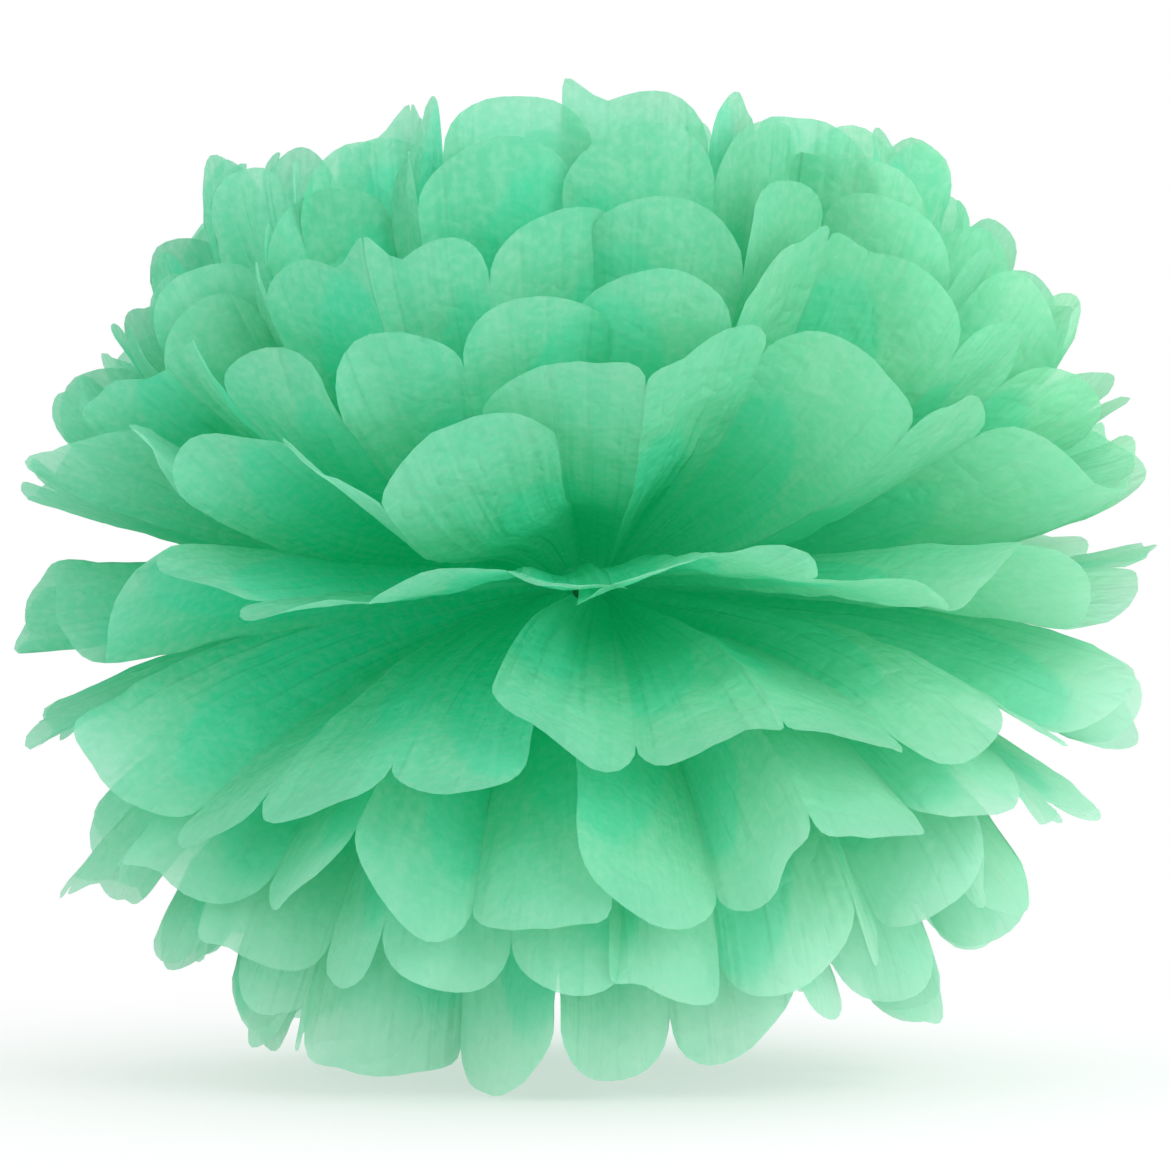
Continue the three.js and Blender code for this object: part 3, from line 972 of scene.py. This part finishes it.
@dataclass
class TissueSheets:
    """The ten pleated sheets, as thin paper with round petal ends."""

    rule: FoldRule = field(default_factory=FoldRule)
    across: int = 14
    along: int = 36
    crinkle_depth: float = 4.5
    crinkle_scale: float = 60.0
    seam_lap: float = 7.0
    wide_lap: float = 1.7
    wide_lap_level: int = 1
    lap_start: float = 14.0
    lap_power: float = 0.8
    seam_gap: float = 1.5
    looseness: float = 4.0
    ear_share: float = 0.3
    ear_power: float = 1.6
    tip_start: float = 0.72
    crease_width: float = 0.28
    top_level: int = 5
    side_pleats: Pair = (1.5, 3.0)
    back_pleats: Pair = (7.0, 3.0)
    body_start: Pair = (0.0, 60.0)
    body_end: Pair = (90.0, 70.0)
    body_fade: float = 0.6
    loose_start: Pair = (20.0, 90.0)
    smooth_angle: float = 24.0

    def shares(self) -> np.ndarray:
        """Where the points lie across a petal, from 0 to 1 and closer near its folds."""
        return 0.5 - np.cos(np.pi * np.arange(self.across + 1) / self.across) / 2

    def petal_shape(self, plan: SheetPlan, half: Half, pleat: int) -> dict[str, float]:
        """Chance values of one petal: its length, camber, tip curl, twist and tone."""
        seed = plan.seed * 7.3 + half.value * 2.1
        pick = [chance(seed + 9 * k, pleat + 1) for k in range(8)]
        return {
            "length": 2.5 * (pick[0] - 0.5),
            "skew": 0.5 * (pick[1] - 0.5),
            "round": 1.6 + 1.1 * pick[5],
            "camber": 5.0 * (pick[2] - 0.5),
            "curl": 11.0 * (pick[3] - 0.4),
            "twist": 14.0 * (pick[4] - 0.5),
            "tone": pick[5],
            "crease": 3.4 * (pick[6] - 0.5) if pick[7] > 0.35 else 0.0,
            "crease_at": 0.3 + 0.4 * pick[7],
        }

    def loosen(self, plan: SheetPlan, half: Half, paths: list[np.ndarray]) -> list[np.ndarray]:
        """Lap the halves over each other at both seams and let the folds wander a little.

        Args:
            plan: The sheet's pose.
            half: Which half.
            paths: The folds' points.

        Returns:
            The folds' points, moved.
        """
        rule = self.rule
        along = np.arange(len(paths[0])) * rule.step
        apart = np.clip(along / rule.tie_to_tip, 0, 1)
        lap = np.clip(along / self.lap_start, 0, 1) ** self.lap_power
        moved = []
        for fold, path in enumerate(paths):
            wander = self.looseness * (chance(plan.seed + 70 + half.value, fold) - 0.5) * 2
            path = rule.crest(path, wander)
            if fold in (0, rule.pleats):
                over = -half.value * self.seam_lap
                if plan.level == self.wide_lap_level:
                    over *= self.wide_lap
                away = half.value * (self.seam_gap if plan.level % 2 else -self.seam_gap)
                path = path + np.column_stack([over * lap, away * apart, np.zeros(len(path))])
            moved.append(path)
        return moved

    def half_grid(self, plan: SheetPlan, half: Half) -> tuple[np.ndarray, np.ndarray, list[float]]:
        """The points of one half of a sheet, waist row first.

        Args:
            plan: The sheet's pose.
            half: Which half.

        Returns:
            Points by row and column in mm, distances along the paper, and each petal's tone.
        """
        rule = self.rule
        paths = self.loosen(plan, half, rule.half(plan, half))
        columns = rule.pleats * self.across + 1
        grid = np.zeros((self.along + 1, columns, 3))
        reach = np.zeros((self.along + 1, columns))
        rows = np.linspace(0, 1, self.along + 1)
        tones = []
        for pleat in range(rule.pleats):
            shape = self.petal_shape(plan, half, pleat)
            tones.append(shape["tone"])
            ears = (plan.points_at(half, pleat), plan.points_at(half, pleat + 1))
            near_trim, side_trim = TRIMS.get((plan.level, half), (0.0, 0.0))
            trim = near_trim + (side_trim - near_trim) * eased(pleat, *self.side_pleats)
            if plan.level < self.top_level:
                trim *= 1 - eased(pleat, *self.back_pleats)
            for step, share in enumerate(self.shares()):
                bow = max(0.0, 1 - abs(2 * share - 1) ** shape["round"]) ** 0.5
                lean = 1 + shape["skew"] * (2 * share - 1)
                end = rule.tie_to_notch + bow * (rule.pleat_width / 2 * lean + shape["length"])
                end -= trim
                end += ears[0] * max(0.0, 1 - share / self.ear_share) ** self.ear_power
                end += ears[1] * max(0.0, 1 - (1 - share) / self.ear_share) ** self.ear_power
                distance = rows * end
                near = rule.at(paths[pleat], distance)
                far = rule.at(paths[pleat + 1], distance)
                point = near * (1 - share) + far * share
                run = np.gradient(point, axis=0)
                side = far - near
                normal = np.cross(run, side) * half.value
                length = np.linalg.norm(normal, axis=1, keepdims=True)
                normal = normal / np.maximum(length, 1e-9)
                middle = 4 * share * (1 - share)
                body = eased(distance, *self.body_start)
                body = body * (1 - self.body_fade * eased(distance, *self.body_end))
                tip = distance / rule.tie_to_tip - self.tip_start
                tip = np.clip(tip / (1 - self.tip_start), 0, 1) ** 2
                fold = max(0.0, 1 - abs(share - shape["crease_at"]) / self.crease_width)
                push = (shape["camber"] * middle + shape["crease"] * fold) * body
                push += tip * middle * shape["curl"]
                push += tip * shape["twist"] * (2 * share - 1) * middle
                column = pleat * self.across + step
                grid[:, column] = point + normal * push[:, None]
                reach[:, column] = distance
        return grid, reach, tones

    def crinkle_tree(self) -> Tree:
        """Geometry nodes that crumple a sheet a little along its own normals."""
        number = "NodeSocketFloat"
        tree = geometry_tree(
            "tissue_crinkle", (("Depth", number), ("Scale", number), ("Seed", number))
        )
        nodes, links = tree.nodes, tree.links
        enter = nodes["Group Input"]
        noise = nodes.new("ShaderNodeTexNoise")
        noise.noise_dimensions = "4D"
        put(noise, Detail=2.5, Distortion=0.5)
        links.new(enter.outputs["Scale"], noise.inputs["Scale"])
        links.new(enter.outputs["Seed"], noise.inputs["W"])
        centred = maths(tree, "SUBTRACT", noise.outputs[0], 0.5)
        depth = maths(tree, "MULTIPLY", centred, enter.outputs["Depth"])
        free = nodes.new("GeometryNodeInputNamedAttribute")
        free.data_type = "FLOAT"
        free.inputs["Name"].default_value = "looseness"
        depth = maths(tree, "MULTIPLY", depth, free.outputs["Attribute"])
        normal = nodes.new("GeometryNodeInputNormal")
        scaled = nodes.new("ShaderNodeVectorMath")
        scaled.operation = "SCALE"
        links.new(normal.outputs[0], scaled.inputs[0])
        links.new(depth, scaled.inputs["Scale"])
        move = nodes.new("GeometryNodeSetPosition")
        links.new(enter.outputs["Geometry"], move.inputs["Geometry"])
        links.new(scaled.outputs[0], move.inputs["Offset"])
        end_tree(tree, move.outputs[0])
        return tree

    def sheet_mesh(self, plan: SheetPlan) -> bpy.types.Mesh:
        """Build one sheet's mesh.

        Args:
            plan: The sheet's pose.

        Returns:
            The mesh in metres, with its petal UV map, tones and looseness.
        """
        rule = self.rule
        columns = rule.pleats * self.across + 1
        points: list[np.ndarray] = []
        loose: list[np.ndarray] = []
        faces: list[list[int]] = []
        uvs: list[np.ndarray] = []
        tones: list[np.ndarray] = []
        waist = np.arange(columns)
        across = np.tile(self.shares()[:-1], rule.pleats), np.tile(self.shares()[1:], rule.pleats)
        left, right = (np.repeat(side[:, None], self.along, axis=1) for side in across)
        offset = 0
        for half in Half:
            grid, reach, petal_tones = self.half_grid(plan, half)
            if half is Half.LEFT:
                points.append(grid[0])
                loose.append(np.zeros(columns))
                offset = columns
            points.append(grid[1:].reshape(-1, 3))
            loose.append(eased(reach[1:], *self.loose_start).reshape(-1))
            rows = offset + np.arange(self.along * columns).reshape(-1, columns)
            offset += self.along * columns
            quads = corners(np.vstack([waist, rows]))
            flat = np.stack([left, right, right, left], axis=-1)
            placed = np.stack([flat, corners(reach) / rule.tie_to_tip], axis=-1)
            if half is Half.RIGHT:
                quads, placed = quads[:, :, ::-1], placed[:, :, ::-1]
            faces += quads.reshape(-1, 4).tolist()
            uvs.append(placed.reshape(-1, 2))
            tones.append(np.repeat(petal_tones, self.across * self.along))
        mesh = bpy.data.meshes.new(plan.name + "_paper")
        mesh.from_pydata((np.vstack(points) * MM).tolist(), [], faces)
        layer = mesh.uv_layers.new(name="petal")
        layer.data.foreach_set("uv", np.vstack(uvs).astype(np.float32).ravel())
        tone = mesh.attributes.new("petal_tone", "FLOAT", "FACE")
        tone.data.foreach_set("value", np.concatenate(tones).astype(np.float32))
        ease = mesh.attributes.new("looseness", "FLOAT", "POINT")
        ease.data.foreach_set("value", np.concatenate(loose).astype(np.float32))
        mesh.shade_smooth()
        mesh.set_sharp_from_angle(angle=math.radians(self.smooth_angle))
        return mesh

    def build(self, material: bpy.types.Material) -> None:
        """Build, crumple and dress all sheets, each riding on the root body."""
        tree = self.crinkle_tree()
        for plan in PLANS:
            mesh = self.sheet_mesh(plan)
            mesh.materials.append(material)
            values = {
                "Depth": self.crinkle_depth * MM,
                "Scale": self.crinkle_scale,
                "Seed": float(plan.seed),
                "Finish": material,
            }
            plain = run_tree(mesh, tree, values, plan.name + "_paper")
            piece = bpy.data.objects.new(plan.name + "_visual", plain)
            show(piece)
            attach(piece, "root")
            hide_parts(plan.name)
            LOG.info("%s: %d faces", piece.name, len(plain.polygons))


@dataclass
class TieWire:
    """The florist's wire round the waist, with its two ends twisted together. Sizes in mm."""

    diameter: float = 1.1
    clearance: float = 0.35
    paper: float = 0.45
    ripple: float = 0.1
    twist_length: float = 16.0
    twist_turns: float = 3.5
    twist_droop: float = 2.5
    twist_away: float = 2.0
    twist_below: float = 1.0
    twist_steps: int = 12
    strand_spread: float = 0.75
    stack_height: float = 5.9
    loop_reach: float = 158.0
    loop_steps: int = 32
    sides: int = 12
    rule: FoldRule = field(default_factory=FoldRule)

    def line(self) -> list[Triple]:
        """The wire's centre line: a strand of the twist, round the waist, the other strand."""
        rule = self.rule
        spare = self.clearance + self.diameter / 2 + self.paper / 2
        wide = rule.waist_width / 2 + spare
        high = self.stack_height * rule.stack_pitch + self.ripple + spare
        centre = rule.stack_middle * rule.stack_pitch
        strand = self.diameter * self.strand_spread
        steps = round(self.twist_turns * self.twist_steps)

        def twist(step: int, phase: float) -> Triple:
            """One point of a strand of the twist."""
            share = step / steps
            turn = share * self.twist_turns * math.tau + phase
            return (
                strand * math.cos(turn),
                -wide - self.twist_away - share * self.twist_length,
                centre - self.twist_below - self.twist_droop * share + strand * math.sin(turn),
            )

        points = [twist(step, math.pi / 2) for step in range(steps, -1, -1)]
        for step in range(self.loop_steps + 1):
            angle = math.radians(self.loop_reach * (1 - 2 * step / self.loop_steps))
            points.append((0.0, math.cos(angle) * wide, centre + math.sin(angle) * high))
        points += [twist(step, -math.pi / 2) for step in range(steps + 1)]
        return points

    def tube_tree(self) -> Tree:
        """Geometry nodes that sweep a round, capped wire along a line."""
        tree = geometry_tree(
            "round_wire", (("Radius", "NodeSocketFloat"), ("Sides", "NodeSocketInt"))
        )
        nodes, links = tree.nodes, tree.links
        enter = nodes["Group Input"]
        curve = nodes.new("GeometryNodeMeshToCurve")
        links.new(enter.outputs["Geometry"], curve.inputs["Mesh"])
        ring = nodes.new("GeometryNodeCurvePrimitiveCircle")
        links.new(enter.outputs["Radius"], ring.inputs["Radius"])
        links.new(enter.outputs["Sides"], ring.inputs["Resolution"])
        tube = nodes.new("GeometryNodeCurveToMesh")
        tube.inputs["Fill Caps"].default_value = True
        links.new(curve.outputs[0], tube.inputs["Curve"])
        links.new(ring.outputs[0], tube.inputs["Profile Curve"])
        end_tree(tree, tube.outputs[0])
        return tree

    def build(self, material: bpy.types.Material) -> None:
        """Build the wire, riding on the root body."""
        points = [tuple(value * MM for value in point) for point in self.line()]
        mesh = bpy.data.meshes.new("tie_wire_line")
        mesh.from_pydata(points, [(i, i + 1) for i in range(len(points) - 1)], [])
        values = {"Radius": self.diameter / 2 * MM, "Sides": self.sides, "Finish": material}
        plain = run_tree(mesh, self.tube_tree(), values, "tie_wire_round")
        plain.shade_smooth()
        piece = bpy.data.objects.new("tie_wire_visual", plain)
        show(piece)
        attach(piece, "root")
        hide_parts("tie_wire")
        LOG.info("%s: %d faces", piece.name, len(plain.polygons))


@dataclass
class Studio:
    """A white room with a pale floor, soft lamps and the photograph's camera."""

    eye_distance: float = 1.5
    view_width: float = IMAGE_SIZE * 0.000287
    aim: Triple = (0.0023, 0.0, 0.0)
    floor_size: float = 6.0
    floor_white: float = 0.93
    floor_fade: Pair = (0.16, 0.42)
    floor_glow: float = 0.55
    room_light: float = 0.88
    sensor: float = 36.0

    def floor(self) -> bpy.types.Object:
        """A pale floor just under the petals that keeps the shadow and reads as white beyond it."""
        size = self.floor_size
        mesh = bpy.data.meshes.new("floor")
        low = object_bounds()[0].z - MM
        mesh.from_pydata(
            [(-size, -size, low), (size, -size, low), (size, size, low), (-size, size, low)],
            [],
            [(0, 1, 2, 3)],
        )
        floor = bpy.data.objects.new("floor", mesh)
        show(floor)
        mesh.materials.append(self.floor_material())
        floor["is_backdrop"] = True
        return floor

    def floor_material(self) -> bpy.types.Material:
        """White paper that fades into plain white away from the object."""
        material = bpy.data.materials.new("floor")
        material.use_nodes = True
        tree = material.node_tree
        shell = tree.nodes["Principled BSDF"]
        put(shell, Base_Color=(*[self.floor_white] * 3, 1), Roughness=0.9)
        place = tree.nodes.new("ShaderNodeTexCoord")
        far = tree.nodes.new("ShaderNodeVectorMath")
        far.operation = "LENGTH"
        tree.links.new(place.outputs["Object"], far.inputs[0])
        fade = ramp(tree, far.outputs["Value"], *self.floor_fade)
        fade = maths(tree, "MULTIPLY_ADD", fade, 1 - self.floor_glow)
        fade.node.inputs[2].default_value = self.floor_glow
        white = tree.nodes.new("ShaderNodeEmission")
        shown = maths(tree, "MULTIPLY", seen_directly(tree), fade)
        mix = mix_shaders(tree, shown, shell.outputs[0], white.outputs[0])
        tree.links.new(mix, tree.nodes["Material Output"].inputs["Surface"])
        return material

    def world(self) -> None:
        """Plain soft light all round, white to the camera."""
        world = bpy.data.worlds.new("room")
        bpy.context.scene.world = world
        world.use_nodes = True
        tree = world.node_tree
        light = tree.nodes["Background"]
        put(light, Color=(1, 1, 1, 1), Strength=self.room_light)
        seen = tree.nodes.new("ShaderNodeBackground")
        put(seen, Color=(1, 1, 1, 1), Strength=1.0)
        mix = mix_shaders(tree, seen_directly(tree), light.outputs[0], seen.outputs[0])
        tree.links.new(mix, tree.nodes["World Output"].inputs["Surface"])

    def lamp(self, name: str, place: Triple, size: float, watts: float) -> None:
        """Add a square soft lamp that points at the tie."""
        data = bpy.data.lights.new(name, "AREA")
        data.size = size
        data.energy = watts
        lamp = bpy.data.objects.new(name, data)
        lamp.location = place
        lamp.rotation_euler = (-Vector(place)).to_track_quat("-Z", "Y").to_euler()
        show(lamp)

    def camera(self) -> None:
        """The photograph's view, level with the tie."""
        data = bpy.data.cameras.new("camera")
        data.sensor_width = self.sensor
        data.lens = self.sensor * self.eye_distance / self.view_width
        camera = bpy.data.objects.new("camera", data)
        camera.location = (self.aim[0], self.aim[1] - self.eye_distance, self.aim[2])
        camera.rotation_euler = (math.radians(90), 0, 0)
        show(camera)
        bpy.context.scene.camera = camera

    def build(self) -> None:
        """Set the room up."""
        self.floor()
        self.world()
        self.lamp("key", (0.9, -1.3, 0.8), 0.9, 11.0)
        self.lamp("fill", (-1.3, -1.2, 0.2), 1.2, 9.0)
        self.lamp("low", (0.9, -0.9, -0.1), 0.9, 8.0)
        self.lamp("back", (0.8, 1.1, 0.2), 1.0, 8.0)
        self.camera()
        bpy.context.scene.view_settings.view_transform = "Standard"


def main() -> None:
    """Build every piece in order."""
    logging.basicConfig(level=logging.INFO)
    tissue = TissueLook(TissueFinish(), PetalPattern()).build()
    sheets = TissueSheets()
    sheets.build(tissue)
    TieWire(rule=sheets.rule).build(wire_material(WireFinish()))
    Studio().build()


if __name__ == "__main__":
    main()
